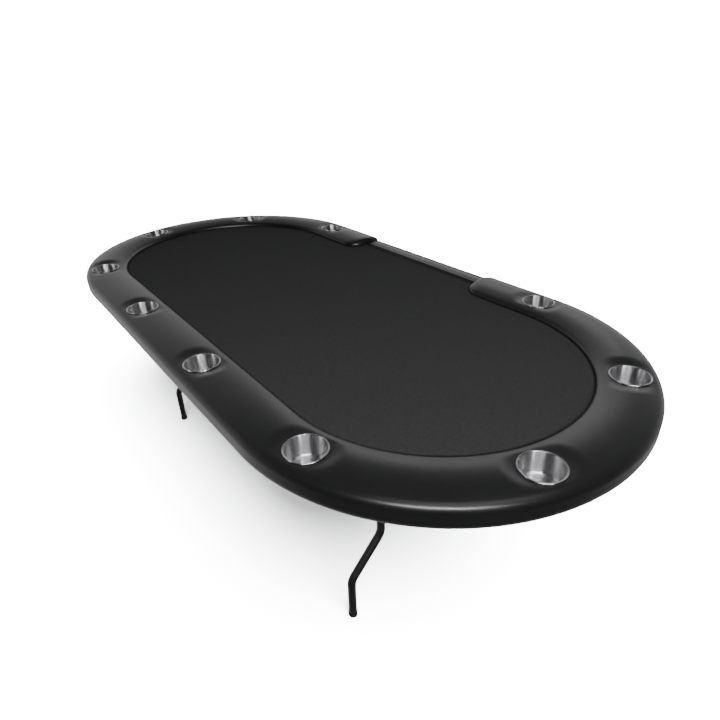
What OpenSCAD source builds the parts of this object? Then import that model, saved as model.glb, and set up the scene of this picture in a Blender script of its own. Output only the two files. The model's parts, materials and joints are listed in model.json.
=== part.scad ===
// Oval poker table for ten players and a dealer, on two folding leg sets.
// Origin on the floor under the middle of the top. +X runs along the length,
// +Y points to the dealer's side and +Z is up. All sizes are in millimetres.

/* [Top] */
// Length over the padded rail
table_length = 2350; // [2300:10:2400]
// Width over the padded rail
table_width = 1160; // [1140:5:1180]
// Height of the rail's crown above the floor
table_height = 762; // [750:1:775]
// Thickness of the plywood deck
deck_t = 15; // [14:0.5:16]
// Thickness of the foam under the felt
play_foam_t = 5; // [4:0.5:6]
// Thickness of the felt
felt_t = 1.5; // [1:0.5:2]

/* [Padded rail] */
// Width of the rail, from its outer side to the felt
rail_width = 150; // [148:1:152]
// Height of the rail's side, crown to lower edge
rail_height = 76; // [75:1:78]
// Height of the crown above the felt
rail_rise = 28; // [27:0.5:29]
// Radius of the outer shoulder
outer_shoulder_r = 22; // [18:1:26]
// Radius of the inner shoulder
inner_shoulder_r = 15; // [12:1:18]
// Radius of the gentle dome across the rail
crown_r = 220; // [200:5:260]
// Thickness of the vinyl
vinyl_t = 1.2; // [1:0.1:1.5]
// Thickness of the plywood under the rail's foam
rail_board_t = 15; // [14:0.5:15]
// Foam on the outer side, between the wood and the outer face
side_foam = 10; // [8:1:12]

/* [Dealer's place] */
// Length of the gap in the rail
gap_length = 630; // [600:10:660]
// Width of the low padded strip across the gap
strip_width = 76; // [74:1:78]
// Height of the strip above the felt
strip_rise = 9.5; // [9:0.5:10]
// Radius of the rail end's corner beside the felt
nose_inner_r = 65; // [60:1:68]
// Radius of the rail end's outer corner
nose_outer_r = 20; // [16:1:24]

/* [Cup holders] */
// Distances of five cups along the rail from the middle of the players' side
cup_runs = [239, 730, 1228, 1703, 2199];
// Inner radius of a cup
cup_r = 46.8; // [46:0.1:47]
// Depth of a cup over its rim
cup_depth = 58; // [54:1:62]
// Outer radius of the cup's rim
cup_rim_r = 50.8; // [50.5:0.1:51]
// Thickness of the cup's steel
cup_t = 0.8; // [0.7:0.1:0.9]

/* [Folding legs] */
// Distance of each leg set from the middle
leg_x = 655; // [650:1:660]
// Half of the spread of the feet
foot_y = 337; // [330:1:340]
// Half of the width of the leg set under the top
leg_y = 226; // [222:1:230]
// Outer radius of the steel tube
tube_r = 12.5; // [12.4:0.1:12.6]
// Wall of the tube
tube_wall = 1.5; // [1.2:0.1:2]
// Slant of the leg between its two bends, from upright
slant = 42; // [40:1:44]
// Height of the lower bend's corner
lower_bend_z = 150; // [140:5:160]
// Distance from the pivot tube down to the cross tube
cross_drop = 298; // [296:1:300]
// Distance of the brace's anchor from the middle of the table
anchor_x = 260; // [258:1:262]

/* [Hidden] */
$fn = 96;

end_r = table_width / 2;
end_x = table_length / 2 - end_r;
gap_half = gap_length / 2;
crown_z = table_height;
felt_z = crown_z - rail_rise;
deck_z = felt_z - felt_t - play_foam_t;
under_z = deck_z - deck_t;
hem_z = crown_z - rail_height;
board_z = deck_z + rail_board_t;
strip_board_z = deck_z + 9;
hem_r = 24;
hem_run = 26;
board_inset = 3;
seam = 0.3;
strip_end_gap = 0.6;
tiny = 0.01;

cup_from_edge = rail_width / 2;
cup_path_r = end_r - cup_from_edge;
cup_seat_z = crown_z - 7;
cup_rim_z = cup_seat_z + 0.1;
cup_base_z = cup_seat_z + 2 - cup_depth;
cup_hole_r = cup_r + cup_t + 0.5;
seat_r = cup_rim_r + 0.7;
seat_spread = 3.3;
bead_r = 1.1;

apron_w = 16;
apron_lift = 1.3;
apron_bevel = [9.5, 14];
batten_w = 28;
batten_h = 32;
batten_y = 400;
batten_x = 720;

pivot_z = under_z - 16;
cross_z = pivot_z - cross_drop;
running = 0.08;
upper_bend_z = lower_bend_z + (foot_y - leg_y) / tan(slant);
cope = 2;
foot_r = 13.8;
foot_h = 20;
foot_sole = 4;

bracket_y = 180;
bracket_w = 30;
bracket_wall = 2.8;
flange_half = 35;
flange_t = 2.5;
bracket_screw_x = 26;
screw_r = 2;
screw_head_r = 4.5;
screw_head_h = 2.5;

link_t = 4;
link_w = 20;
link_gap = 0.5;
collar_w = 6;
rivet_r = 4;
rivet_head_r = 7;
rivet_head_h = 2;
straight = norm([leg_x - anchor_x, cross_drop]);
folded = leg_x - anchor_x - cross_drop;
upper_len = (straight - folded) / 2;
lower_len = (straight + folded) / 2;
brace_tilt = atan2(cross_drop, leg_x - anchor_x);
cheek_t = 3.6;
cheek_gap = 0.4;
anchor_len = 46;

vinyl_colour = [0.16, 0.16, 0.17];
felt_colour = [0.19, 0.19, 0.19];
foam_colour = [0.86, 0.82, 0.70];
ply_colour = [0.76, 0.62, 0.43];
pine_colour = [0.82, 0.68, 0.47];
black_steel = [0.07, 0.07, 0.08];
bright_steel = [0.75, 0.76, 0.78];
rubber_colour = [0.10, 0.10, 0.10];

// ---- outlines -------------------------------------------------------------

function arc(c, r, a0, a1, steps) =
    [for (i = [0 : steps]) let (a = a0 + (a1 - a0) * i / steps) c + r * [cos(a), sin(a)]];

// Section of the padded rail as (distance from the outer face, height), inset by g
function rail_outline(g) =
    let (
        mid = [rail_width / 2, crown_z - crown_r],
        out_c = [outer_shoulder_r, mid.y + sqrt(pow(crown_r - outer_shoulder_r, 2)
            - pow(mid.x - outer_shoulder_r, 2))],
        in_c = [rail_width - inner_shoulder_r, mid.y + sqrt(pow(crown_r - inner_shoulder_r, 2)
            - pow(mid.x - inner_shoulder_r, 2))],
        in_a = atan2(in_c.y - mid.y, in_c.x - mid.x),
        out_a = atan2(out_c.y - mid.y, out_c.x - mid.x)
    )
    concat(
        [[rail_width - g, deck_z]],
        arc(in_c, inner_shoulder_r - g, 0, in_a, 5),
        arc(mid, crown_r - g, in_a + 3, out_a - 3, 7),
        arc(out_c, outer_shoulder_r - g, out_a, 180, 6),
        arc([hem_r, hem_z + hem_r], hem_r - g, 180, 270, 4),
        [[hem_run, hem_z + g], [hem_run, deck_z]]
    );

// Section of the low strip at the dealer's place, inset by g
function strip_outline(g) =
    let (top = felt_z + strip_rise, r_in = 10, r_out = 18)
    concat(
        [[strip_width - g, deck_z]],
        arc([strip_width - r_in, top - r_in], r_in - g, 0, 90, 5),
        arc([r_out, top - r_out], r_out - g, 90, 180, 6),
        arc([hem_r, hem_z + hem_r], hem_r - g, 180, 270, 4),
        [[hem_run, hem_z + g], [hem_run, deck_z]]
    );

module stadium(r) {
    square([2 * end_x, 2 * r], center = true);
    for (s = [-1, 1]) translate([s * end_x, 0]) circle(r, $fn = 180);
}

// The gap in the rail, grown by g, with the rounded rail ends left standing
module gap(g) {
    translate([-gap_half - g, end_r / 2]) square([2 * (gap_half + g), end_r]);
    for (s = [0, 1]) mirror([s, 0]) {
        nose_corner(end_r - rail_width, 1, nose_inner_r, g);
        nose_corner(end_r, -1, nose_outer_r, g);
    }
}

module nose_corner(edge_y, way, r, g) {
    difference() {
        translate([gap_half, way > 0 ? edge_y - 5 : edge_y - r]) square([r, r + 5]);
        translate([gap_half + r, edge_y + way * r]) circle(r - g);
    }
}

module at_height(z, t) {
    translate([0, 0, z]) linear_extrude(t) children();
}

// ---- sweeps of a section along the rail -----------------------------------

module sweep_end(s) {
    translate([s * end_x, 0, 0]) rotate([0, 0, -90 * s]) rotate_extrude(angle = 180, $fn = 180)
        translate([end_r, 0]) mirror([1, 0]) children();
}

module sweep_side(s, x0, x1) {
    translate([x0, 0, 0]) rotate([90, 0, 90]) linear_extrude(x1 - x0)
        translate([s * end_r, 0]) mirror([s > 0 ? 1 : 0, 0]) children();
}

module sweep_rail() {
    sweep_end(1) children();
    sweep_end(-1) children();
    sweep_side(-1, -end_x, end_x) children();
    sweep_side(1, -end_x, end_x) children();
}

// The whole padded rail, inset by g, with a seat for each cup
module rail_solid(g) {
    difference() {
        sweep_rail() polygon(rail_outline(g));
        at_height(deck_z, rail_height) gap(g);
        translate([-gap_half, end_r / 2, hem_z - 5]) cube([gap_length, end_r, deck_z - hem_z + 6]);
        for (i = [1 : 10]) at_cup(i) {
            cylinder(r = cup_hole_r, h = crown_z + 5);
            translate([0, 0, cup_seat_z - g])
                cylinder(r1 = seat_r, r2 = seat_r + seat_spread * (8 + g), h = 8 + g);
        }
    }
}

module half(s) {
    intersection() {
        children();
        translate([s > 0 ? 0 : -table_length, -table_width, 0])
            cube([table_length, 2 * table_width, table_height + 10]);
    }
}

// ---- cups -----------------------------------------------------------------

// Place of a cup a run of s along the line of cup centres
function cup_place(s) =
    let (bend = (s - end_x) / cup_path_r * 180 / PI)
    bend <= 0 ? [s, -cup_path_r]
    : bend < 180 ? [end_x + cup_path_r * sin(bend), -cup_path_r * cos(bend)]
    : [end_x - (s - end_x - PI * cup_path_r), cup_path_r];

// Cups are numbered round the table from the right end's dealer side
CUP_ORDER = [[3, 1], [2, 1], [1, 1], [0, 1], [0, -1], [1, -1], [2, -1], [3, -1], [4, -1], [4, 1]];

module at_cup(i) {
    run = CUP_ORDER[i - 1];
    p = cup_place(cup_runs[run[0]]);
    translate([run[1] * p.x, p.y, 0]) children();
}

module cup_profile(r, z0, z1, corner) {
    polygon(concat([[0, z1], [0, z0]], arc([r - corner, z0 + corner], corner, -90, 0, 5), [[r, z1]]));
}

module drop_cup(i) {
    color(bright_steel) at_cup(i) rotate_extrude() difference() {
        union() {
            cup_profile(cup_r + cup_t, cup_base_z, cup_rim_z + 1.2, 7);
            translate([cup_r, cup_rim_z + 0.3]) square([cup_rim_r - bead_r - cup_r, 0.9]);
            translate([cup_rim_r - bead_r, cup_rim_z + bead_r]) circle(bead_r);
        }
        cup_profile(cup_r, cup_base_z + cup_t, crown_z, 7 - cup_t);
    }
}

// ---- the top --------------------------------------------------------------

module cup_holes(z, t) {
    for (i = [1 : 10]) at_cup(i) translate([0, 0, z - 1]) cylinder(r = cup_hole_r, h = t + 2);
}

module deck_board() {
    color(ply_colour) difference() {
        at_height(under_z, deck_t) stadium(end_r - side_foam);
        cup_holes(under_z, deck_t);
    }
}

module apron_section() {
    inner = side_foam + apron_w;
    polygon([
        [side_foam, under_z], [side_foam, hem_z + apron_bevel.y],
        [side_foam + apron_bevel.x, hem_z + apron_lift + 1.1], [hem_r, hem_z + apron_lift],
        [inner, hem_z + apron_lift], [inner, under_z]
    ]);
}

module apron_side(s) {
    color(ply_colour) sweep_side(s, -end_x, end_x) apron_section();
}

module apron_end(s) {
    color(ply_colour) sweep_end(s) apron_section();
}

module batten_side(s) {
    color(pine_colour) translate([-batten_x - batten_w, s > 0 ? batten_y : -batten_y - batten_w, under_z - batten_h])
        cube([2 * (batten_x + batten_w), batten_w, batten_h]);
}

module batten_end(s) {
    color(pine_colour) translate([s > 0 ? batten_x : -batten_x - batten_w, -batten_y, under_z - batten_h])
        cube([batten_w, 2 * batten_y, batten_h]);
}

module rail_board(s) {
    color(ply_colour) half(s) difference() {
        at_height(deck_z, rail_board_t) difference() {
            stadium(end_r - side_foam);
            stadium(end_r - rail_width + board_inset);
            gap(side_foam);
        }
        cup_holes(deck_z, rail_board_t);
    }
}

// Wood that the rail's foam is wrapped round
module rail_core() {
    at_height(hem_z - 5, board_z - hem_z + 5) difference() {
        stadium(end_r - side_foam);
        stadium(end_r - rail_width + board_inset);
        gap(side_foam);
    }
    at_height(hem_z - 5, deck_z - hem_z + 5) stadium(end_r - side_foam);
}

module rail_foam(s) {
    color(foam_colour) half(s) difference() {
        rail_solid(vinyl_t);
        rail_core();
    }
}

module rail_vinyl() {
    color(vinyl_colour) difference() {
        rail_solid(0);
        rail_solid(vinyl_t);
    }
}

module strip_board() {
    half_len = gap_half - side_foam;
    color(ply_colour) sweep_side(1, -half_len, half_len)
        translate([side_foam, deck_z]) square([strip_width - side_foam - board_inset, strip_board_z - deck_z]);
}

module strip_foam() {
    half_len = gap_half - side_foam;
    color(foam_colour) sweep_side(1, -half_len, half_len) difference() {
        polygon(strip_outline(vinyl_t));
        translate([side_foam, deck_z - 1])
            square([strip_width - side_foam - board_inset, strip_board_z - deck_z + 1]);
        translate([side_foam, hem_z - 5]) square([strip_width, deck_z - hem_z + 5]);
    }
}

module strip_vinyl() {
    half_len = gap_half - strip_end_gap;
    color(vinyl_colour) sweep_side(1, -half_len, half_len) difference() {
        polygon(strip_outline(0));
        polygon(strip_outline(vinyl_t));
    }
}

module playing_area() {
    stadium(end_r - rail_width - seam);
    intersection() {
        gap(-seam);
        translate([-end_x, end_r / 2]) square([2 * end_x, end_r / 2 - strip_width - seam]);
    }
}

module playing_foam() {
    color(foam_colour) at_height(deck_z, play_foam_t) playing_area();
}

module felt() {
    color(felt_colour) at_height(deck_z + play_foam_t, felt_t) playing_area();
}

// ---- fasteners ------------------------------------------------------------

// A screw driven upwards from height z, with its head below that height
module screw_up(z, length) {
    translate([0, 0, z - screw_head_h]) cylinder(r1 = screw_head_r - 1, r2 = screw_head_r, h = screw_head_h);
    translate([0, 0, z - 0.5]) cylinder(r = screw_r, h = length + 0.5);
}

module rail_screws() {
    color(bright_steel) for (s = [-1, 1], run = [120, 485, 980, 1465, 1950, 2400]) {
        p = cup_place(run);
        translate([s * p.x, p.y, 0]) screw_up(under_z, deck_t + 10);
    }
}

module apron_screws() {
    apron_mid = end_r - side_foam - apron_w / 2;
    color(bright_steel) for (s = [-1, 1]) {
        for (x = [-450 : 300 : 450]) translate([x, s * apron_mid, 0]) screw_down(deck_z, deck_t + 15);
        for (a = [-60 : 40 : 60]) translate([s * end_x, 0, 0]) rotate([0, 0, s > 0 ? a : 180 + a])
            translate([apron_mid, 0, 0]) screw_down(deck_z, deck_t + 15);
    }
}

// A countersunk screw driven downwards with its head flush at height z
module screw_down(z, length) {
    translate([0, 0, z - screw_head_h]) cylinder(r1 = screw_r, r2 = screw_head_r, h = screw_head_h);
    translate([0, 0, z - length]) cylinder(r = screw_r, h = length - screw_head_h + tiny);
}

module batten_screws() {
    mid_y = batten_y + batten_w / 2;
    mid_x = batten_x + batten_w / 2;
    color(bright_steel) {
        for (s = [-1, 1], x = [-600 : 300 : 600])
            translate([x, s * mid_y, 0]) screw_up(under_z - batten_h, batten_h + 10);
        for (s = [-1, 1], y = [-300 : 300 : 300])
            translate([s * mid_x, y, 0]) screw_up(under_z - batten_h, batten_h + 10);
    }
}

module bracket_screws() {
    color(bright_steel) for (s = [-1, 1]) {
        for (y = [-bracket_y, bracket_y], x = [-bracket_screw_x, bracket_screw_x])
            translate([s * leg_x + x, y, 0]) screw_up(under_z - flange_t, flange_t + 10);
        for (x = [-14, 14]) translate([s * anchor_x + x, -22, 0]) screw_up(under_z - flange_t, flange_t + 10);
    }
}

// Rubber pads that the folded right leg set comes to rest on
module leg_stops() {
    color(rubber_colour) for (y = [-foot_y, foot_y], x = [25, 95])
        translate([x, y, pivot_z + tube_r + seam]) cylinder(r = 11, h = under_z - pivot_z - tube_r - seam);
}

// ---- leg pivots and brace anchors on the top ------------------------------

module pivot_bracket() {
    rotate([90, 0, 0]) linear_extrude(bracket_w, center = true) difference() {
        union() {
            circle(tube_r + bracket_wall);
            translate([-tube_r - bracket_wall, 0]) square([2 * (tube_r + bracket_wall), under_z - pivot_z]);
            translate([-flange_half, under_z - pivot_z - flange_t]) square([2 * flange_half, flange_t]);
        }
        circle(tube_r + running);
    }
}

module pivot_brackets() {
    color(black_steel) for (s = [-1, 1], y = [-bracket_y, bracket_y]) difference() {
        translate([s * leg_x, y, pivot_z]) pivot_bracket();
        for (x = [-bracket_screw_x, bracket_screw_x])
            translate([s * leg_x + x, y, under_z - 6]) cylinder(r = screw_r + 0.2, h = 10);
    }
}

module brace_anchors() {
    y0 = -link_t - cheek_gap;
    color(black_steel) for (s = [-1, 1]) translate([s * anchor_x, 0, 0]) difference() {
        union() {
            translate([-anchor_len / 2, y0 - cheek_t - 24, under_z - flange_t])
                cube([anchor_len, cheek_t + 24, flange_t]);
            translate([0, y0, 0]) rotate([90, 0, 0]) linear_extrude(cheek_t) {
                translate([0, pivot_z]) circle(11);
                translate([-11, pivot_z]) square([22, under_z - pivot_z]);
            }
        }
        translate([0, 1, pivot_z]) rotate([90, 0, 0]) cylinder(r = rivet_r, h = 20);
        for (x = [-14, 14]) translate([x, -22, under_z - 6]) cylinder(r = screw_r + 0.2, h = 10);
    }
}

module anchor_rivets() {
    y0 = -link_t - cheek_gap - cheek_t;
    color(bright_steel) for (s = [-1, 1]) translate([s * anchor_x, 0, pivot_z]) rotate([90, 0, 0]) {
        translate([0, 0, 0.05]) cylinder(r = rivet_r, h = -y0);
        translate([0, 0, -y0]) cylinder(r1 = rivet_head_r, r2 = rivet_head_r - 1.5, h = rivet_head_h);
    }
}

// ---- leg sets -------------------------------------------------------------

module tube_ring() {
    difference() {
        circle(tube_r);
        circle(tube_r - tube_wall);
    }
}

module tube_run(length) {
    linear_extrude(length) tube_ring();
}

// Everything past the mitre plane of a leg's bend whose corner is at (y, z)
module past_bend(y, z) {
    translate([0, y, z]) rotate([180 + slant / 2, 0, 0]) translate([-150, -150, 0]) cube([300, 300, 500]);
}

module leg_tube(s, e) {
    span = (upper_bend_z - lower_bend_z) / cos(slant);
    color(black_steel) translate([s * leg_x, 0, 0]) mirror([0, e > 0 ? 0 : 1, 0]) {
        difference() {
            translate([0, leg_y, upper_bend_z - 20]) tube_run(pivot_z - cope - upper_bend_z + 20);
            past_bend(leg_y, upper_bend_z);
            translate([0, 0, pivot_z]) rotate([90, 0, 0]) cylinder(r = tube_r, h = 3 * leg_y, center = true);
        }
        difference() {
            intersection() {
                translate([0, leg_y, upper_bend_z]) rotate([180 + slant, 0, 0])
                    translate([0, 0, -20]) tube_run(span + 40);
                past_bend(leg_y, upper_bend_z);
            }
            past_bend(foot_y, lower_bend_z);
        }
        intersection() {
            translate([0, foot_y, foot_sole]) tube_run(lower_bend_z + 20 - foot_sole);
            past_bend(foot_y, lower_bend_z);
        }
    }
}

module pivot_tube(s) {
    color(black_steel) translate([s * leg_x, leg_y + 14, pivot_z]) rotate([90, 0, 0]) tube_run(2 * leg_y + 28);
}

module cross_tube(s) {
    color(black_steel) translate([s * leg_x, 0, cross_z]) difference() {
        translate([0, leg_y - cope, 0]) rotate([90, 0, 0]) tube_run(2 * (leg_y - cope));
        for (y = [-leg_y, leg_y]) translate([0, y, 0]) cylinder(r = tube_r, h = 60, center = true);
    }
}

module feet(s) {
    color(rubber_colour) for (y = [-foot_y, foot_y]) translate([s * leg_x, y, 0]) rotate_extrude() difference() {
        polygon(concat([[0, 0]], arc([foot_r - 2, 2], 2, -90, 0, 4), [[foot_r - 1, foot_h], [0, foot_h]]));
        translate([0, foot_sole]) square([tube_r, foot_h]);
    }
}

module collars(s) {
    color(black_steel) translate([s * leg_x, 0, cross_z]) for (y = [link_gap - seam, link_gap + link_t + seam + collar_w])
        translate([0, y, 0]) rotate([90, 0, 0]) linear_extrude(collar_w) difference() {
            circle(tube_r + 3);
            circle(tube_r);
        }
}

// ---- folding braces, drawn straight ---------------------------------------

// A flat bar from the origin along +X with round ends
module bar(length, start_r, end_r) {
    circle(start_r);
    translate([length, 0]) circle(end_r);
    translate([0, -link_w / 2]) square([length, link_w]);
}

// Puts children drawn in X and Y into the brace's upright plane, starting at the anchor
module on_brace(s, along, y_far) {
    mirror([s > 0 ? 0 : 1, 0, 0]) translate([anchor_x, y_far, pivot_z])
        rotate([90, 0, 0]) rotate([0, 0, -brace_tilt]) translate([along, 0, 0]) children();
}

module upper_link(s) {
    color(black_steel) on_brace(s, 0, 0) linear_extrude(link_t) difference() {
        bar(upper_len, link_w / 2, link_w / 2);
        circle(rivet_r + running);
        translate([upper_len, 0]) circle(rivet_r);
    }
}

module elbow_rivet(s) {
    color(bright_steel) on_brace(s, upper_len, 0) {
        cylinder(r = rivet_r, h = link_t);
        translate([0, 0, link_t]) cylinder(r1 = rivet_head_r, r2 = rivet_head_r - 1.5, h = rivet_head_h);
    }
}

module lower_link(s) {
    color(black_steel) on_brace(s, upper_len, link_gap + link_t) linear_extrude(link_t) difference() {
        bar(lower_len, link_w / 2, tube_r + 3);
        circle(rivet_r);
        translate([lower_len, 0]) circle(tube_r + running);
    }
}

module elbow_washer(s) {
    color(bright_steel) on_brace(s, upper_len, link_gap + link_t) {
        cylinder(r = rivet_r, h = link_t);
        translate([0, 0, -rivet_head_h]) cylinder(r1 = rivet_head_r - 1.5, r2 = rivet_head_r, h = rivet_head_h);
    }
}

// ---- nodes ----------------------------------------------------------------

deck_board();
apron_side(-1);  // apron_near
apron_side(1);  // apron_far
apron_end(-1);  // apron_left
apron_end(1);  // apron_right
batten_side(-1);  // batten_near
batten_side(1);  // batten_far
batten_end(-1);  // batten_left
batten_end(1);  // batten_right
rail_board(-1);  // rail_board_left
rail_board(1);  // rail_board_right
rail_foam(-1);  // rail_foam_left
rail_foam(1);  // rail_foam_right
rail_vinyl();
strip_board();
strip_foam();
strip_vinyl();
playing_foam();
felt();
rail_screws();
apron_screws();
batten_screws();
bracket_screws();
leg_stops();
pivot_brackets();
brace_anchors();
anchor_rivets();
for (side = [["right", 1], ["left", -1]]) {
    s = side[1];
    leg_tube(s, -1);
    leg_tube(s, 1);
    pivot_tube(s);
    cross_tube(s);
    feet(s);
    collars(s);
    upper_link(s);
    elbow_rivet(s);
    lower_link(s);
    elbow_washer(s);
}
for (i = [1 : 10]) drop_cup(i);
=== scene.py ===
import json
import math
import random

import bmesh
import bpy
from mathutils import Matrix, Vector


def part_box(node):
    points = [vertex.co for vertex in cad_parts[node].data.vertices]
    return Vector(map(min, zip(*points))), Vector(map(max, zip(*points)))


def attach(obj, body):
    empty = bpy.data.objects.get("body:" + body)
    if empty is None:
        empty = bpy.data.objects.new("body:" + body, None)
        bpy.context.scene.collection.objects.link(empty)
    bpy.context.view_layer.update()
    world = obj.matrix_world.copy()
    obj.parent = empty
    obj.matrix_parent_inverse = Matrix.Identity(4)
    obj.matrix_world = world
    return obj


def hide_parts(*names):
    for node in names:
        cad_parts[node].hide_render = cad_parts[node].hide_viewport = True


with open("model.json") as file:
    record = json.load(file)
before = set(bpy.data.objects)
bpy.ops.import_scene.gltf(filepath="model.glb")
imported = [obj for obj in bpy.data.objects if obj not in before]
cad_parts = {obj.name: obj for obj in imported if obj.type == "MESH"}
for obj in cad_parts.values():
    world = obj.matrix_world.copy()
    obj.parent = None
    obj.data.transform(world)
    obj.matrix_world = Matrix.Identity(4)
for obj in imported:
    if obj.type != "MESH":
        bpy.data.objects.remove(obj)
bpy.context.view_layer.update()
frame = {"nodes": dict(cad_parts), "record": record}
nodes = frame["nodes"]

# ---- Camera ------------------------------------------------------------------------------
# Stands off the right end on the players' side, a little above standing eye height, and
# looks down across the table.

aim = Vector((0.4269, -0.1113, 0.700))
camera_turn, camera_rise = math.radians(53.06), math.radians(29.57)
camera_roll = math.radians(-1.71)
camera_reach = 1.5718

back = Vector((math.sin(camera_turn) * math.cos(camera_rise),
               -math.cos(camera_turn) * math.cos(camera_rise),
               math.sin(camera_rise)))
camera = bpy.data.objects.new("camera", bpy.data.cameras.new("camera"))
bpy.context.scene.collection.objects.link(camera)
camera.data.sensor_width = 36
camera.data.lens = 27.2
camera.rotation_mode = "QUATERNION"
camera.location = aim + back * camera_reach
upright = (-back).to_track_quat("-Z", "Y").to_matrix().to_4x4()
camera.rotation_quaternion = (upright @ Matrix.Rotation(camera_roll, 4, "Z")).to_quaternion()
bpy.context.scene.camera = camera

# ---- Floor and lights --------------------------------------------------------------------
# A plain pale studio floor, with two broad suns that light it alone, under a surround that is
# white to the camera and dim to the table. One large soft light stands over the players'
# side, a long narrow one draws the bright line along the rail's shoulder, a weak one stands
# behind, and two upright ones, for the cups alone, make the streaks in them.


def new_material(name, colour, roughness, metallic=0.0):
    material = bpy.data.materials.new(name)
    material.use_nodes = True
    shader = material.node_tree.nodes["Principled BSDF"]
    shader.inputs["Base Color"].default_value = (*colour, 1)
    shader.inputs["Roughness"].default_value = roughness
    shader.inputs["Metallic"].default_value = metallic
    return material, shader


def add_node(material, kind, **values):
    node = material.node_tree.nodes.new(kind)
    for key, value in values.items():
        socket = node.inputs.get(key.replace("_", " "))
        if socket is not None:
            socket.default_value = value
        else:
            setattr(node, key, value)
    return node


def join(material, start, end):
    material.node_tree.links.new(start, end)


def new_piece(name, bm, material, smooth=True):
    mesh = bpy.data.meshes.new(name)
    bm.to_mesh(mesh)
    bm.free()
    piece = bpy.data.objects.new(name, mesh)
    bpy.context.scene.collection.objects.link(piece)
    mesh.materials.append(material)
    for face in mesh.polygons:
        face.use_smooth = smooth
    return piece


floor_material, floor_shader = new_material("studio_floor", (0.34, 0.345, 0.348), 0.9)
floor_shader.inputs["Specular IOR Level"].default_value = 0.0
floor_mesh = bmesh.new()
bmesh.ops.create_grid(floor_mesh, x_segments=2, y_segments=2, size=30)
floor = new_piece("floor", floor_mesh, floor_material, smooth=False)
floor.visible_diffuse = False
floor.visible_glossy = False

world = bpy.data.worlds.new("white_studio")
world.use_nodes = True
sky_tree = world.node_tree
room = sky_tree.nodes["Background"]
direction = sky_tree.nodes.new("ShaderNodeTexCoord")
height_part = sky_tree.nodes.new("ShaderNodeSeparateXYZ")
fade = sky_tree.nodes.new("ShaderNodeValToRGB")
for stop, position, grey in zip(fade.color_ramp.elements, (0.08, 0.62), (1.0, 0.26)):
    stop.position, stop.color = position, (grey, grey, grey, 1)
away = sky_tree.nodes.new("ShaderNodeVectorMath")
away.operation = "DOT_PRODUCT"
away.inputs[1].default_value = (-0.85, 0.53, 0)
far_side = sky_tree.nodes.new("ShaderNodeMapRange")
for socket, value in (("From Min", -0.3), ("From Max", 0.7), ("To Min", 0.05), ("To Max", 0.95)):
    far_side.inputs[socket].default_value = value
below = sky_tree.nodes.new("ShaderNodeMapRange")
for socket, value in (("From Min", -0.15), ("From Max", -0.7), ("To Min", 0.0), ("To Max", 0.12)):
    below.inputs[socket].default_value = value
stronger = sky_tree.nodes.new("ShaderNodeMath")
stronger.operation = "MAXIMUM"
backdrop = sky_tree.nodes.new("ShaderNodeBackground")
backdrop.inputs["Strength"].default_value = 40.0
seen = sky_tree.nodes.new("ShaderNodeLightPath")
choice = sky_tree.nodes.new("ShaderNodeMixShader")
for start, end in ((direction.outputs["Generated"], height_part.inputs[0]),
                   (height_part.outputs["Z"], fade.inputs["Fac"]),
                   (direction.outputs["Generated"], away.inputs[0]),
                   (away.outputs["Value"], far_side.inputs["Value"]),
                   (height_part.outputs["Z"], below.inputs["Value"]),
                   (far_side.outputs[0], stronger.inputs[0]),
                   (below.outputs[0], stronger.inputs[1]),
                   (stronger.outputs[0], room.inputs["Strength"]),
                   (fade.outputs["Color"], room.inputs["Color"]),
                   (seen.outputs["Is Camera Ray"], choice.inputs["Fac"]),
                   (room.outputs[0], choice.inputs[1]),
                   (backdrop.outputs[0], choice.inputs[2]),
                   (choice.outputs[0], sky_tree.nodes["World Output"].inputs["Surface"])):
    sky_tree.links.new(start, end)
bpy.context.scene.world = world


def soft_light(name, place, target, width, height, power):
    light = bpy.data.lights.new(name, "AREA")
    light.shape = "RECTANGLE"
    light.size, light.size_y, light.energy = width, height, power
    lamp = bpy.data.objects.new(name, light)
    bpy.context.scene.collection.objects.link(lamp)
    lamp.location = place
    lamp.rotation_mode = "QUATERNION"
    lamp.rotation_quaternion = (Vector(target) - Vector(place)).to_track_quat("-Z", "Y")
    return lamp


soft_light("overhead_softbox", (1.8, -0.4, 3.0), (0.6, 0, 0.7), 2.0, 1.6, 17)
soft_light("shoulder_strip", (2.9, -1.8, 2.45), (1.0, -0.4, 0.7), 2.0, 0.04, 118)
soft_light("back_strip", (-1.4, 2.6, 2.2), (0.2, 0, 0.7), 2.6, 0.4, 6)
cup_lights = [soft_light("cup_window", (3.7, -0.75, 2.1), (0.2, 0, 0.7), 0.16, 2.2, 88),
              soft_light("cup_slit", (-0.6, -3.4, 2.1), (0.2, 0, 0.7), 0.10, 2.2, 40)]

floor_only = bpy.data.collections.new("floor_only")
floor_only.objects.link(floor)
for name, energy, spread, tilt in (("floor_wash", 230, 42, (2, 30)),
                                   ("floor_fill", 12, 160, (0, 0))):
    floor_sun = bpy.data.objects.new(name, bpy.data.lights.new(name, "SUN"))
    floor_sun.data.energy = energy
    floor_sun.data.angle = math.radians(spread)
    floor_sun.rotation_euler = (math.radians(tilt[0]), math.radians(tilt[1]), 0)
    bpy.context.scene.collection.objects.link(floor_sun)
    floor_sun.light_linking.receiver_collection = floor_only

# ---- Shared sizes of the top -------------------------------------------------------------
# The outline is two half circles joined by straight sides. Distances across the rail are
# counted inwards from its outer face, and heights from the floor.

top_low, top_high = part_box("rail_vinyl")
end_radius = top_high.y
end_centre = top_high.x - end_radius
crown = top_high.z
hem_height = top_low.z
deck_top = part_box("deck_board")[1].z
rail_across = 0.150
gap_half = 0.315

# ---- Vinyl grain -------------------------------------------------------------------------
# Black furniture vinyl: a fine pebbled grain of about a millimetre, softly satin, a little
# duller where hands and arms rest.


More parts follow.
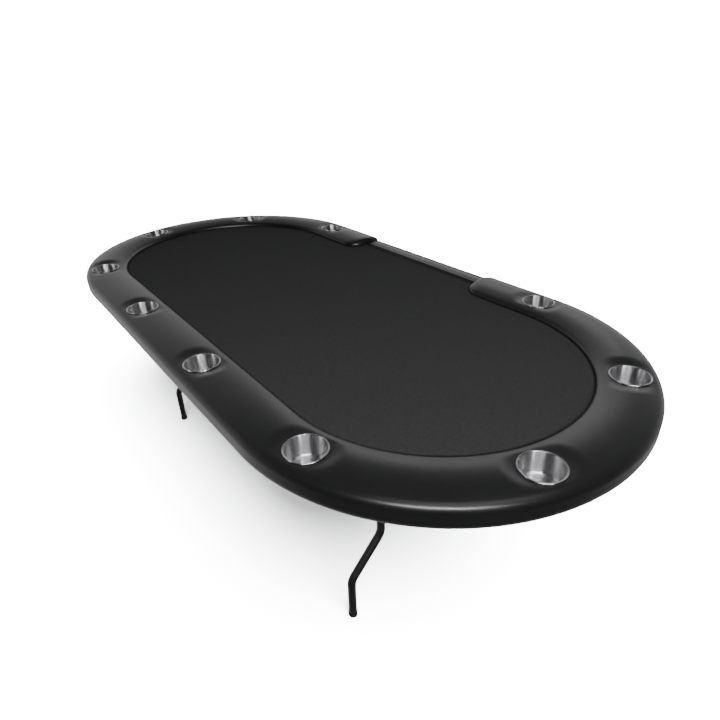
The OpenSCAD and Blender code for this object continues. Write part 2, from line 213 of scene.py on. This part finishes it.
def raise_surface(material, shader, height, strength, depth):
    bump = add_node(material, "ShaderNodeBump", Strength=strength, Distance=depth)
    join(material, height, bump.inputs["Height"])
    join(material, bump.outputs[0], shader.inputs["Normal"])


def vary_roughness(material, shader, value, low, high):
    gloss = add_node(material, "ShaderNodeMapRange", To_Min=low, To_Max=high)
    join(material, value, gloss.inputs["Value"])
    join(material, gloss.outputs[0], shader.inputs["Roughness"])


def vary_colour(material, shader, value, first, last, positions=(0.0, 1.0)):
    tone = add_node(material, "ShaderNodeValToRGB")
    for stop, position, colour in zip(tone.color_ramp.elements, positions, (first, last)):
        stop.position, stop.color = position, (*colour, 1)
    join(material, value, tone.inputs["Fac"])
    join(material, tone.outputs["Color"], shader.inputs["Base Color"])


def vinyl_finish():
    material, shader = new_material("black_vinyl", (0.012, 0.012, 0.0125), 0.42)
    place = add_node(material, "ShaderNodeTexCoord").outputs["Object"]
    pebble = add_node(material, "ShaderNodeTexVoronoi", Scale=620.0, feature="SMOOTH_F1")
    crease = add_node(material, "ShaderNodeTexNoise", Scale=260.0, Detail=4.0)
    patch = add_node(material, "ShaderNodeTexNoise", Scale=5.0, Detail=3.0)
    for texture in (pebble, crease, patch):
        join(material, place, texture.inputs["Vector"])
    relief = add_node(material, "ShaderNodeMath", operation="ADD")
    join(material, pebble.outputs["Distance"], relief.inputs[0])
    join(material, crease.outputs["Fac"], relief.inputs[1])
    raise_surface(material, shader, relief.outputs[0], 0.16, 0.0006)
    vary_roughness(material, shader, patch.outputs["Fac"], 0.28, 0.36)
    vary_colour(material, shader, patch.outputs["Fac"],
                (0.006, 0.006, 0.0063), (0.011, 0.011, 0.0116))
    return material


vinyl = vinyl_finish()

# ---- Padded rail -------------------------------------------------------------------------
# One tight vinyl cover pulled over foam on a plywood ring. It is stapled under the apron,
# and its two rounded ends stand either side of the dealer's place.

outer_shoulder, inner_shoulder, dome, overhang = 0.022, 0.015, 0.220, 0.0045
hem_radius, hem_turn = 0.024, 0.026
nose_inner, nose_outer, nose_top = 0.065, 0.024, 0.020
station_gap = 0.008
cup_seat_drop, cup_seat_radius, cup_seat_reach = 0.0072, 0.0525, 0.0900
cup_cut_radius, cup_fine_radius = 0.0492, 0.068
cover_top_zone = deck_top + 0.015
cup_names = ["cup_%d" % i for i in range(1, 11)]
cup_centres = [((lo + hi) / 2).xy for lo, hi in map(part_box, cup_names)]


def arc_points(centre, radius, start, end, steps):
    return [(centre[0] + radius * math.cos(math.radians(start + (end - start) * i / steps)),
             centre[1] + radius * math.sin(math.radians(start + (end - start) * i / steps)))
            for i in range(steps + 1)]


def rail_section():
    middle = (rail_across / 2, crown - dome)

    def shoulder(across, radius):
        rise = math.sqrt((dome - radius) ** 2 - (middle[0] - across) ** 2)
        return (across, middle[1] + rise), math.degrees(math.atan2(rise, across - middle[0]))

    inner, inner_angle = shoulder(rail_across + overhang - inner_shoulder, inner_shoulder)
    foot_angle = math.degrees(math.acos(1 - overhang / inner_shoulder))
    outer, outer_angle = shoulder(outer_shoulder, outer_shoulder)
    side_top, side_low = outer[1], hem_height + hem_radius
    side = [(0.0, side_top + (side_low - side_top) * i / 5) for i in range(1, 5)]
    join_gap = 1.5
    return ([(rail_across, deck_top)]
            + arc_points(inner, inner_shoulder, -foot_angle, inner_angle, 9)
            + arc_points(middle, dome, inner_angle + join_gap, outer_angle - join_gap, 15)
            + arc_points(outer, outer_shoulder, outer_angle, 180, 8)
            + side
            + arc_points((hem_radius, side_low), hem_radius, 180, 270, 7)
            + [(hem_turn, hem_height)])


def sweep(bm, section, start_x, stations):
    """Draws the section across the dealer's side at start_x and returns its wire."""
    points = [bm.verts.new((start_x, end_radius - across, height)) for across, height in section]
    wire = points + [bm.edges.new(pair) for pair in zip(points, points[1:])]
    for kind, amount, steps in stations:
        if kind == "straight":
            made = bmesh.ops.spin(bm, geom=wire, cent=(0, 0, 0), axis=(0, 0, 1), angle=0,
                                  dvec=(amount / steps, 0, 0), steps=steps)
        else:
            made = bmesh.ops.spin(bm, geom=wire, cent=(amount * end_centre, 0, 0), axis=(0, 0, 1),
                                  angle=math.pi, dvec=(0, 0, 0), steps=steps)
        wire = made["geom_last"]
    return wire


lobe_start = gap_half + nose_inner
lobe_run = end_centre - lobe_start
side_steps = round(2 * end_centre / station_gap)
end_steps = round(math.pi * end_radius / station_gap)
rail_mesh = bmesh.new()
lobe_stations = ("straight", -lobe_run, round(lobe_run / station_gap))
sweep(rail_mesh, rail_section(), -lobe_start, [
    lobe_stations,
    ("turn", -1, end_steps),
    ("straight", 2 * end_centre, side_steps),
    ("turn", 1, end_steps),
    lobe_stations])


def round_nose(bm, side):
    """Draws the rail's end in to a soft rounded nose, in steps that follow a quarter turn."""
    wire = {v for v in bm.verts if abs(v.co.x - side * lobe_start) < 1e-5 and v.co.y > 0.3}
    edges = [e for e in bm.edges if wire.issuperset(e.verts)]
    steps = 12
    flat = {v: (end_radius - v.co.y, v.co.z) for v in wire}
    for i in range(1, steps + 1):
        turn = math.pi / 2 * i / steps
        left = nose_inner * (1 - math.sin(turn))
        made = bmesh.ops.extrude_edge_only(bm, edges=edges)["geom"]
        fresh = [g for g in made if isinstance(g, bmesh.types.BMVert)]
        edges = [g for g in made if isinstance(g, bmesh.types.BMEdge)
                 and all(v in fresh for v in g.verts)]
        for new in fresh:
            old = next(e.other_vert(new) for e in new.link_edges
                       if e.other_vert(new) not in fresh)
            flat[new] = flat[old]

            def cut(radius):
                return radius - math.sqrt(max(radius ** 2 - max(radius - left, 0) ** 2, 0))

            across, height = flat[new]
            near, far = cut(nose_outer), rail_across - cut(nose_inner)
            across = near + (far - near) * across / rail_across
            top = crown - cut(nose_top)
            height = (hem_height
                      + (height - hem_height) * (top - hem_height) / (crown - hem_height))
            new.co = Vector((side * (gap_half + left), end_radius - across, height))
    bmesh.ops.edgeloop_fill(bm, edges=edges)


def seat_cups(bm):
    """Presses a shallow dish under each cup's rim and cuts the hole the cup drops through."""
    for centre in cup_centres:
        close = [e for e in bm.edges if all(v.co.z > cover_top_zone
                 and (v.co.xy - centre).length < cup_fine_radius for v in e.verts)]
        bmesh.ops.subdivide_edges(bm, edges=close, cuts=2, use_grid_fill=True)
        for v in bm.verts:
            off = (v.co.xy - centre).length
            if v.co.z > cover_top_zone and off < cup_seat_reach:
                ease = min((cup_seat_reach - off) / (cup_seat_reach - cup_seat_radius), 1)
                dish = ease * ease * (3 - 2 * ease)
                floor_of_dish = crown - cup_seat_drop
                v.co.z += dish * (floor_of_dish - max(v.co.z, floor_of_dish))
        inside = [f for f in bm.faces if f.calc_center_median().z > cover_top_zone
                  and all((v.co.xy - centre).length < cup_cut_radius for v in f.verts)]
        bmesh.ops.delete(bm, geom=inside, context="FACES")
        for v in bm.verts:
            off = v.co.xy - centre
            if v.co.z > cover_top_zone and off.length < cup_cut_radius:
                v.co.xy = centre + off.normalized() * cup_cut_radius


for side in (-1, 1):
    round_nose(rail_mesh, side)
merge_gap = 0.00005
bmesh.ops.remove_doubles(rail_mesh, verts=rail_mesh.verts, dist=merge_gap)
seat_cups(rail_mesh)
bmesh.ops.remove_doubles(rail_mesh, verts=rail_mesh.verts, dist=merge_gap)
bmesh.ops.recalc_face_normals(rail_mesh, faces=rail_mesh.faces)
rail = new_piece("padded_rail_cover", rail_mesh, vinyl)
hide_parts("rail_vinyl", "rail_foam_left", "rail_foam_right")
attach(rail, "table_top")

# ---- Dealer's strip ----------------------------------------------------------------------
# A low padded bar across the gap, the same vinyl over a thin board, running in between the
# two rail ends.

strip_low, strip_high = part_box("strip_vinyl")
strip_across = strip_high.y - strip_low.y
strip_in = 0.020
strip_inner, strip_outer, strip_dome = 0.011, 0.018, 0.09
strip_mesh = bmesh.new()
strip_section = ([(strip_across, deck_top)]
                 + arc_points((strip_across - strip_inner, strip_high.z - strip_inner),
                              strip_inner, 0, 82, 6)
                 + arc_points((strip_across / 2 + 0.002, strip_high.z - strip_dome),
                              strip_dome, 74, 106, 8)
                 + arc_points((strip_outer, strip_high.z - strip_outer - 0.001),
                              strip_outer, 100, 180, 7)
                 + arc_points((hem_radius, hem_height + hem_radius), hem_radius, 180, 270, 5)
                 + [(hem_turn, hem_height)])
strip_half = gap_half + strip_in
sweep(strip_mesh, strip_section, -strip_half, [("straight", 2 * strip_half, 80)])
bmesh.ops.recalc_face_normals(strip_mesh, faces=strip_mesh.faces)
strip = new_piece("dealer_strip_cover", strip_mesh, vinyl)
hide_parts("strip_vinyl", "strip_foam")
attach(strip, "table_top")

# ---- Felt --------------------------------------------------------------------------------
# One charcoal sheet of short-napped felt, stretched over thin foam on the deck and tucked
# against the rail all round.


def felt_finish():
    material, shader = new_material("charcoal_felt", (0.026, 0.026, 0.027), 0.96)
    shader.inputs["Specular IOR Level"].default_value = 0.02
    shader.inputs["Sheen Weight"].default_value = 0.0
    place = add_node(material, "ShaderNodeTexCoord").outputs["Object"]
    nap = add_node(material, "ShaderNodeTexNoise", Scale=1500.0, Detail=6.0, Roughness=0.7)
    matted = add_node(material, "ShaderNodeTexNoise", Scale=170.0, Detail=5.0)
    for texture in (nap, matted):
        join(material, place, texture.inputs["Vector"])
    blend = add_node(material, "ShaderNodeMath", operation="MULTIPLY_ADD")
    join(material, nap.outputs["Fac"], blend.inputs[0])
    blend.inputs[1].default_value = 0.55
    soft = add_node(material, "ShaderNodeMath", operation="MULTIPLY")
    join(material, matted.outputs["Fac"], soft.inputs[0])
    soft.inputs[1].default_value = 0.45
    join(material, soft.outputs[0], blend.inputs[2])
    vary_colour(material, shader, blend.outputs[0],
                (0.034, 0.034, 0.035), (0.057, 0.057, 0.059), (0.25, 0.75))
    raise_surface(material, shader, blend.outputs[0], 0.35, 0.0005)
    return material


felt_low, felt_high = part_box("felt")
felt_radius = -felt_low.y
felt_far = felt_high.y
felt_mesh = bmesh.new()
for side in (-1, 1):
    first = felt_mesh.verts.new((side * end_centre, -felt_radius, felt_high.z))
    bmesh.ops.spin(felt_mesh, geom=[first], cent=(side * end_centre, 0, 0), axis=(0, 0, 1),
                   angle=side * math.pi, steps=96)
    corner = (gap_half + nose_inner, felt_radius + nose_inner)
    nose = [felt_mesh.verts.new((side * x, y, felt_high.z))
            for x, y in arc_points(corner, nose_inner, 270, 180, 12)]
    nose.append(felt_mesh.verts.new((side * gap_half, felt_far, felt_high.z)))
    for pair in zip(nose, nose[1:]):
        felt_mesh.edges.new(pair)
felt_mesh.verts.ensure_lookup_table()


def felt_vertex(x, y):
    return min(felt_mesh.verts, key=lambda v: (v.co.xy - Vector((x, y))).length)


for side in (-1, 1):
    felt_mesh.edges.new((felt_vertex(side * end_centre, felt_radius),
                         felt_vertex(side * (gap_half + nose_inner), felt_radius)))
felt_mesh.edges.new((felt_vertex(-end_centre, -felt_radius),
                     felt_vertex(end_centre, -felt_radius)))
felt_mesh.edges.new((felt_vertex(-gap_half, felt_far), felt_vertex(gap_half, felt_far)))
felt_face = bmesh.ops.contextual_create(felt_mesh, geom=felt_mesh.edges[:])["faces"][0]
bmesh.ops.recalc_face_normals(felt_mesh, faces=felt_mesh.faces)
if felt_face.normal.z < 0:
    felt_face.normal_flip()
felt_area = felt_face.calc_area()
tucked_edge, tuck_depth = 0.003, 0.0012
bmesh.ops.inset_region(felt_mesh, faces=[felt_face], thickness=tucked_edge, depth=0,
                       use_even_offset=True)
for v in felt_mesh.verts:
    if felt_face not in v.link_faces:
        v.co.z -= tuck_depth
felt = new_piece("felt_sheet", felt_mesh, felt_finish(), smooth=False)
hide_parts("felt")
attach(felt, "table_top")

# ---- Cup holders -------------------------------------------------------------------------
# Drop-in cups pressed and turned from stainless sheet, with a rolled rim that rests on the
# vinyl. The wall is brushed round and round, so it carries tall soft streaks of light.


def brushed_finish():
    material, shader = new_material("brushed_stainless", (0.50, 0.50, 0.51), 0.3, 1.0)
    place = add_node(material, "ShaderNodeTexCoord").outputs["Object"]
    stretch = add_node(material, "ShaderNodeMapping")
    stretch.inputs["Scale"].default_value = (14, 14, 2600)
    lines = add_node(material, "ShaderNodeTexNoise", Scale=1.0, Detail=3.0)
    smudge = add_node(material, "ShaderNodeTexNoise", Scale=45.0, Detail=4.0)
    join(material, place, stretch.inputs["Vector"])
    join(material, stretch.outputs[0], lines.inputs["Vector"])
    join(material, place, smudge.inputs["Vector"])
    wiped = add_node(material, "ShaderNodeMath", operation="MULTIPLY")
    join(material, lines.outputs["Fac"], wiped.inputs[0])
    join(material, smudge.outputs["Fac"], wiped.inputs[1])
    vary_roughness(material, shader, wiped.outputs[0], 0.27, 0.36)
    upright = add_node(material, "ShaderNodeCombineXYZ", X=-0.06, Y=0.045, Z=1.0)
    join(material, upright.outputs[0], shader.inputs["Tangent"])
    shader.inputs["Anisotropic"].default_value = 0.97
    return material


stainless = brushed_finish()
wall = 0.0008
cup_low, cup_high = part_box("cup_1")
rim_radius = (cup_high.x - cup_low.x) / 2
well_radius = 0.0468
rim_bead = 0.0013


def turned(name, profile, centre, material, steps=96):
    """Turns a closed or open profile of (radius, height) about an upright line."""
    bm = bmesh.new()
    points = [bm.verts.new((r, 0, z)) for r, z in profile]
    wire = points + [bm.edges.new(pair) for pair in zip(points, points[1:])]
    bmesh.ops.spin(bm, geom=wire, cent=(0, 0, 0), axis=(0, 0, 1), angle=2 * math.pi,
                   steps=steps, use_merge=True)
    bmesh.ops.remove_doubles(bm, verts=bm.verts, dist=0.00001)
    bmesh.ops.recalc_face_normals(bm, faces=bm.faces)
    bmesh.ops.translate(bm, verts=bm.verts, vec=centre)
    return new_piece(name, bm, material)


def cup_profile():
    top, base = cup_high.z, cup_low.z
    outside, fillet = well_radius + wall, 0.007
    inside_fillet = fillet - wall
    bead_z = top - rim_bead
    rim_under, floor_z, step_rise = bead_z - 0.0006, base + wall, 0.0007
    return ([(0.0, base)]
            + arc_points((outside - fillet, base + fillet), fillet, -90, 0, 6)
            + [(outside, rim_under), (rim_radius - 1.6 * rim_bead, rim_under)]
            + arc_points((rim_radius - rim_bead, bead_z), rim_bead, -100, 120, 10)
            + arc_points((well_radius + wall, bead_z - 0.0002), wall, 90, 180, 5)
            + [(well_radius, floor_z + 0.02)]
            + arc_points((well_radius - inside_fillet, floor_z + inside_fillet),
                         inside_fillet, 0, -90, 6)
            + [(0.030, floor_z), (0.0285, floor_z + step_rise), (0.027, floor_z + step_rise),
               (0.0, floor_z + step_rise)])


cups_only = bpy.data.collections.new("cups_only")
for lamp in cup_lights:
    lamp.light_linking.receiver_collection = cups_only
for name, centre in zip(cup_names, cup_centres):
    cup = turned(name + "_holder", cup_profile(), (centre.x, centre.y, 0), stainless)
    cups_only.objects.link(cup)
    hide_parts(name)
    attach(cup, name)

# ---- Leg tubes ---------------------------------------------------------------------------
# Each leg is one length of round steel tube with two bends, powder coated black, welded to
# the pivot tube above and to a cross tube.


def powder_coat():
    material, shader = new_material("black_powder_coat", (0.012, 0.012, 0.013), 0.38)
    place = add_node(material, "ShaderNodeTexCoord").outputs["Object"]
    orange_peel = add_node(material, "ShaderNodeTexNoise", Scale=900.0, Detail=3.0)
    wear = add_node(material, "ShaderNodeTexNoise", Scale=30.0, Detail=6.0)
    for texture in (orange_peel, wear):
        join(material, place, texture.inputs["Vector"])
    raise_surface(material, shader, orange_peel.outputs["Fac"], 0.12, 0.0003)
    vary_roughness(material, shader, wear.outputs["Fac"], 0.30, 0.46)
    return material


black_steel = powder_coat()
tube_radius = 0.0125
bend_radius, slant = 0.045, math.radians(42)
lower_bend = 0.150
foot_sole = 0.004
feet_low, feet_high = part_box("right_feet")
foot_radius = (feet_high.x - feet_low.x) / 2
foot_y = feet_high.y - foot_radius
leg_x = (feet_high.x + feet_low.x) / 2
pivot_low, pivot_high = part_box("right_pivot_tube")
pivot_height = (pivot_low.z + pivot_high.z) / 2
leg_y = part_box("right_leg_far")[0].y + tube_radius
upper_bend = lower_bend + (foot_y - leg_y) / math.tan(slant)
bend_reach = bend_radius * math.tan(slant / 2)


def leg_piece(name, side, end):
    bm = bmesh.new()
    ring = bmesh.ops.create_circle(bm, segments=40, radius=tube_radius)["verts"]
    bmesh.ops.translate(bm, verts=ring, vec=(side * leg_x, end * foot_y, foot_sole))
    wire = ring + bm.edges[:]
    slope = (foot_y - leg_y) / math.sin(slant) - 2 * bend_reach
    steps = [
        ((0, 0, lower_bend - bend_reach - foot_sole), 0, None, 4),
        (None, end * slant, (foot_y - bend_radius, lower_bend - bend_reach), 14),
        ((0, -end * math.sin(slant) * slope, math.cos(slant) * slope), 0, None, 4),
        (None, -end * slant, (leg_y + bend_radius, upper_bend + bend_reach), 14),
        ((0, 0, pivot_height - upper_bend - bend_reach), 0, None, 6)]
    for move, turn, centre, count in steps:
        if move:
            made = bmesh.ops.spin(bm, geom=wire, cent=(0, 0, 0), axis=(1, 0, 0), angle=0,
                                  dvec=Vector(move) / count, steps=count)
        else:
            made = bmesh.ops.spin(bm, geom=wire, cent=(0, end * centre[0], centre[1]),
                                  axis=(1, 0, 0), angle=turn, steps=count)
        wire = made["geom_last"]
    bmesh.ops.holes_fill(bm, edges=[e for e in bm.edges if e.is_boundary])
    bmesh.ops.recalc_face_normals(bm, faces=bm.faces)
    return new_piece(name, bm, black_steel)


for side_name, side in (("right", 1), ("left", -1)):
    for end_name, end in (("near", -1), ("far", 1)):
        leg = leg_piece(side_name + "_bent_leg_" + end_name, side, end)
        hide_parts(side_name + "_leg_" + end_name)
        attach(leg, side_name + "_leg_set")

# ---- Feet --------------------------------------------------------------------------------
# Moulded rubber feet pushed over the ends of the tubes, ribbed round the skirt.


def rubber_finish():
    material, shader = new_material("black_rubber", (0.017, 0.017, 0.017), 0.7)
    place = add_node(material, "ShaderNodeTexCoord").outputs["Object"]
    dust = add_node(material, "ShaderNodeTexNoise", Scale=60.0, Detail=6.0)
    join(material, place, dust.inputs["Vector"])
    vary_colour(material, shader, dust.outputs["Fac"],
                (0.012, 0.012, 0.012), (0.032, 0.031, 0.030))
    raise_surface(material, shader, dust.outputs["Fac"], 0.2, 0.0005)
    return material


rubber = rubber_finish()
foot_height = feet_high.z


def foot_profile():
    ribs, first_rib, rib_pitch, groove = [], 0.005, 0.004, 0.0006
    for i in range(3):
        z = first_rib + rib_pitch * i
        ribs += [(foot_radius, z), (foot_radius - groove, z + 0.0008),
                 (foot_radius - groove, z + 0.0018), (foot_radius - 0.0001, z + 0.0026)]
    return ([(0.0, 0.0)] + arc_points((foot_radius - 0.002, 0.002), 0.002, -90, 0, 4) + ribs
            + arc_points((foot_radius - 0.0010, foot_height - 0.0008), 0.0008, 0, 90, 4)
            + [(tube_radius, foot_height - 0.0004), (tube_radius - 0.0004, foot_height - 0.002)])


for side_name, side in (("right", 1), ("left", -1)):
    for end_name, end in (("near", -1), ("far", 1)):
        foot = turned(side_name + "_rubber_foot_" + end_name, foot_profile(),
                      (side * leg_x, end * foot_y, 0), rubber, steps=48)
        if end > 0:
            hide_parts(side_name + "_feet")
        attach(foot, side_name + "_leg_set")

# ---- Wood, foam, steel and screws --------------------------------------------------------
# Everything under the cover: plywood with its layered edge, planed battens, foam, black
# steel brackets and links, and zinc plated screws.


def wood_finish(name, light, dark, along, layered):
    material, shader = new_material(name, light, 0.55)
    place = add_node(material, "ShaderNodeTexCoord").outputs["Object"]
    stretch = add_node(material, "ShaderNodeMapping")
    stretch.inputs["Scale"].default_value = along
    grain = add_node(material, "ShaderNodeTexNoise", Scale=9.0, Detail=8.0, Distortion=0.6)
    join(material, place, stretch.inputs["Vector"])
    join(material, stretch.outputs[0], grain.inputs["Vector"])
    value = grain.outputs["Fac"]
    if layered:
        plies = add_node(material, "ShaderNodeTexWave", Scale=105.0, Distortion=0.4,
                         bands_direction="Z")
        join(material, place, plies.inputs["Vector"])
        part = add_node(material, "ShaderNodeMath", operation="MULTIPLY_ADD")
        join(material, plies.outputs["Fac"], part.inputs[0])
        part.inputs[1].default_value = 0.25
        join(material, value, part.inputs[2])
        value = part.outputs[0]
    vary_colour(material, shader, value, light, dark, (0.35, 0.75))
    raise_surface(material, shader, value, 0.15, 0.0004)
    return material


def grainy_finish(name, colour, spread, roughness, scale, metallic=0.0, depth=0.0004):
    material, shader = new_material(name, colour, roughness, metallic)
    place = add_node(material, "ShaderNodeTexCoord").outputs["Object"]
    cells = add_node(material, "ShaderNodeTexNoise", Scale=scale, Detail=6.0, Roughness=0.65)
    join(material, place, cells.inputs["Vector"])
    vary_colour(material, shader, cells.outputs["Fac"], [c * (1 - spread) for c in colour],
                [min(c * (1 + spread), 1) for c in colour])
    raise_surface(material, shader, cells.outputs["Fac"], 0.3, depth)
    return material


finishes = {
    "plywood": wood_finish("birch_plywood", (0.62, 0.45, 0.27), (0.42, 0.27, 0.14),
                           (1, 14, 14), True),
    "pine": wood_finish("planed_pine", (0.66, 0.46, 0.24), (0.45, 0.27, 0.11),
                        (1, 22, 22), False),
    "foam": grainy_finish("open_cell_foam", (0.62, 0.57, 0.40), 0.3, 0.95, 700.0),
    "felt": felt.data.materials[0],
    "vinyl": vinyl,
    "black_steel": black_steel,
    "zinc": grainy_finish("zinc_plate", (0.55, 0.55, 0.52), 0.2, 0.32, 90.0, 1.0, 0.0001),
    "cup_steel": stainless,
    "rubber": rubber,
}
for subpart in frame["record"]["subparts"]:
    body = nodes[subpart["node"]]
    body.data.materials.clear()
    body.data.materials.append(finishes[subpart["material_slot"]])

# ---- Staples -----------------------------------------------------------------------------
# The cover is turned under the apron and fixed with a close row of wire staples, none of
# them quite square to the edge.

staple_inset, staple_pitch, staple_half, wire_half = 0.0245, 0.032, 0.005, 0.0005
staple_path = end_radius - staple_inset
staple_mesh = bmesh.new()
hand = random.Random(7)
straight_run, turn_run = 2 * end_centre, math.pi * staple_path
whole_run = 2 * (straight_run + turn_run)
for i in range(int(whole_run / staple_pitch)):
    run = i * staple_pitch + hand.uniform(-0.003, 0.003)
    side = 1 if run < whole_run / 2 else -1
    run = run % (whole_run / 2)
    if run < straight_run:
        place, facing = Vector((run - end_centre, -staple_path, 0)), 0.0
    else:
        facing = (run - straight_run) / staple_path
        place = Vector((end_centre + staple_path * math.sin(facing),
                        -staple_path * math.cos(facing), 0))
    if side < 0:
        place, facing = Vector((-place.x, -place.y, 0)), facing + math.pi
    fresh = bmesh.ops.create_cube(staple_mesh, size=2)["verts"]
    bmesh.ops.scale(staple_mesh, verts=fresh, vec=(staple_half, wire_half, wire_half))
    bmesh.ops.rotate(staple_mesh, verts=fresh,
                     matrix=Matrix.Rotation(facing + hand.uniform(-0.35, 0.35), 3, "Z"))
    bmesh.ops.translate(staple_mesh, verts=fresh,
                        vec=(place.x, place.y, hem_height - wire_half * 0.6))
bmesh.ops.bevel(staple_mesh, geom=staple_mesh.edges[:], offset=0.0002, segments=1, profile=0.5,
                affect="EDGES", material=-1)
staples = new_piece("cover_staples", staple_mesh, finishes["zinc"], smooth=False)
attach(staples, "table_top")
